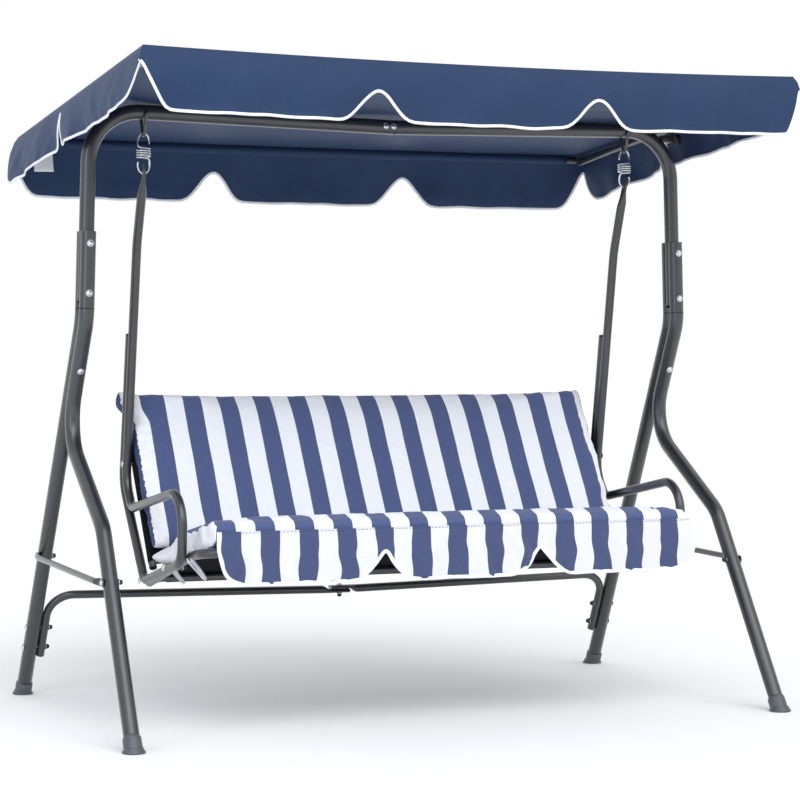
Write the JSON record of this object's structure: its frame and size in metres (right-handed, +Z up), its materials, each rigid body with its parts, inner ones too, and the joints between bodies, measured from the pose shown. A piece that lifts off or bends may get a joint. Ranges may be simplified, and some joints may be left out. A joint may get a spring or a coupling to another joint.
{
  "type": "canopy swing bench",
  "caption": "Garden swing bench: a padded striped seat hung on springs from a bent steel tube stand, under a tilting scalloped fabric canopy.",
  "frame": {"origin": "on the ground under the middle of the overall width and depth", "axes": "+Z up, the seat faces -Y, +X is to the right of someone looking at the seat from the front"},
  "size_m": [1.665, 1.1602, 1.518],
  "materials": {
    "frame_paint": "charcoal powder coat, semi-gloss",
    "zinc": "bright zinc plate",
    "foot_plastic": "dark grey moulded",
    "knob_plastic": "black moulded",
    "canopy_cloth": "navy polyester with white binding",
    "pad_cloth": "blue and white stripes, padded",
    "sling_cloth": "black woven mesh"
  },
  "bodies": {
    "frame": {"beam_left": "frame_paint", "beam_right": "frame_paint", "beam_bolt_1": "zinc", "beam_bolt_2": "zinc", "front_leg_left": "frame_paint", "front_leg_right": "frame_paint", "rear_leg_left": "frame_paint", "rear_leg_right": "frame_paint", "leg_bolt_1_left": "zinc", "leg_bolt_1_right": "zinc", "leg_bolt_2_left": "zinc", "leg_bolt_2_right": "zinc", "leg_bolt_3_left": "zinc", "leg_bolt_3_right": "zinc", "front_foot_cap_left": "foot_plastic", "front_foot_cap_right": "foot_plastic", "rear_foot_cap_left": "foot_plastic", "rear_foot_cap_right": "foot_plastic", "side_brace_left": "frame_paint", "side_brace_right": "frame_paint", "brace_bolt_front_left": "zinc", "brace_bolt_front_right": "zinc", "brace_bolt_rear_left": "zinc", "brace_bolt_rear_right": "zinc", "crossbar_bolt_upper_left": "zinc", "crossbar_bolt_upper_right": "zinc", "crossbar_bolt_lower_left": "zinc", "crossbar_bolt_lower_right": "zinc", "beam_eye_left": "frame_paint", "beam_eye_right": "frame_paint", "crossbar_left": "frame_paint", "crossbar_right": "frame_paint", "crossbar_middle_bolt": "zinc"},
    "springs": {"spring_left": "zinc", "spring_right": "zinc"},
    "seat": {"hanger_loop_left": "frame_paint", "hanger_loop_right": "frame_paint", "seat_frame": "frame_paint", "back_frame": "frame_paint", "seat_bolt_rear_left": "zinc", "seat_bolt_rear_right": "zinc", "seat_bolt_front_left": "zinc", "seat_bolt_front_right": "zinc", "seat_bolt_back_left": "zinc", "seat_bolt_back_right": "zinc", "seat_sling": "sling_cloth", "back_sling": "sling_cloth", "seat_pad": "pad_cloth", "back_pad": "pad_cloth", "skirt": "pad_cloth"},
    "canopy": {"canopy_cloth": "canopy_cloth", "canopy_front_tube": "frame_paint", "canopy_rear_tube": "frame_paint", "canopy_side_tube_left": "frame_paint", "canopy_side_tube_right": "frame_paint", "canopy_bracket_left": "frame_paint", "canopy_bracket_right": "frame_paint"},
    "knob_left": {"tilt_knob_left": "knob_plastic"},
    "knob_right": {"tilt_knob_right": "knob_plastic"}
  },
  "joints": [
    {"name": "seat_swing", "type": "hinge", "parent": "frame", "child": "springs", "pos_m": [0, -0.01861, 1.3825], "axis": [1, 0, 0], "range_deg": [-20, 20]},
    {"name": "seat_bounce", "type": "slide", "parent": "springs", "child": "seat", "axis": [0, 0, -1], "range_m": [0, 0.03], "stiffness_N_per_m": 12000, "springref_m": -0.02, "deforming": ["spring_left", "spring_right"]},
    {"name": "canopy_tilt", "type": "hinge", "parent": "frame", "child": "canopy", "pos_m": [0, -0.01861, 1.412], "axis": [1, 0, 0], "range_deg": [-15, 15]},
    {"name": "tilt_knob_left_turn", "type": "hinge", "parent": "canopy", "child": "knob_left", "pos_m": [-0.787, -0.01861, 1.412], "axis": [1, 0, 0], "continuous": true},
    {"name": "tilt_knob_right_turn", "type": "hinge", "parent": "canopy", "child": "knob_right", "pos_m": [0.787, -0.01861, 1.412], "axis": [1, 0, 0], "continuous": true}
  ]
}
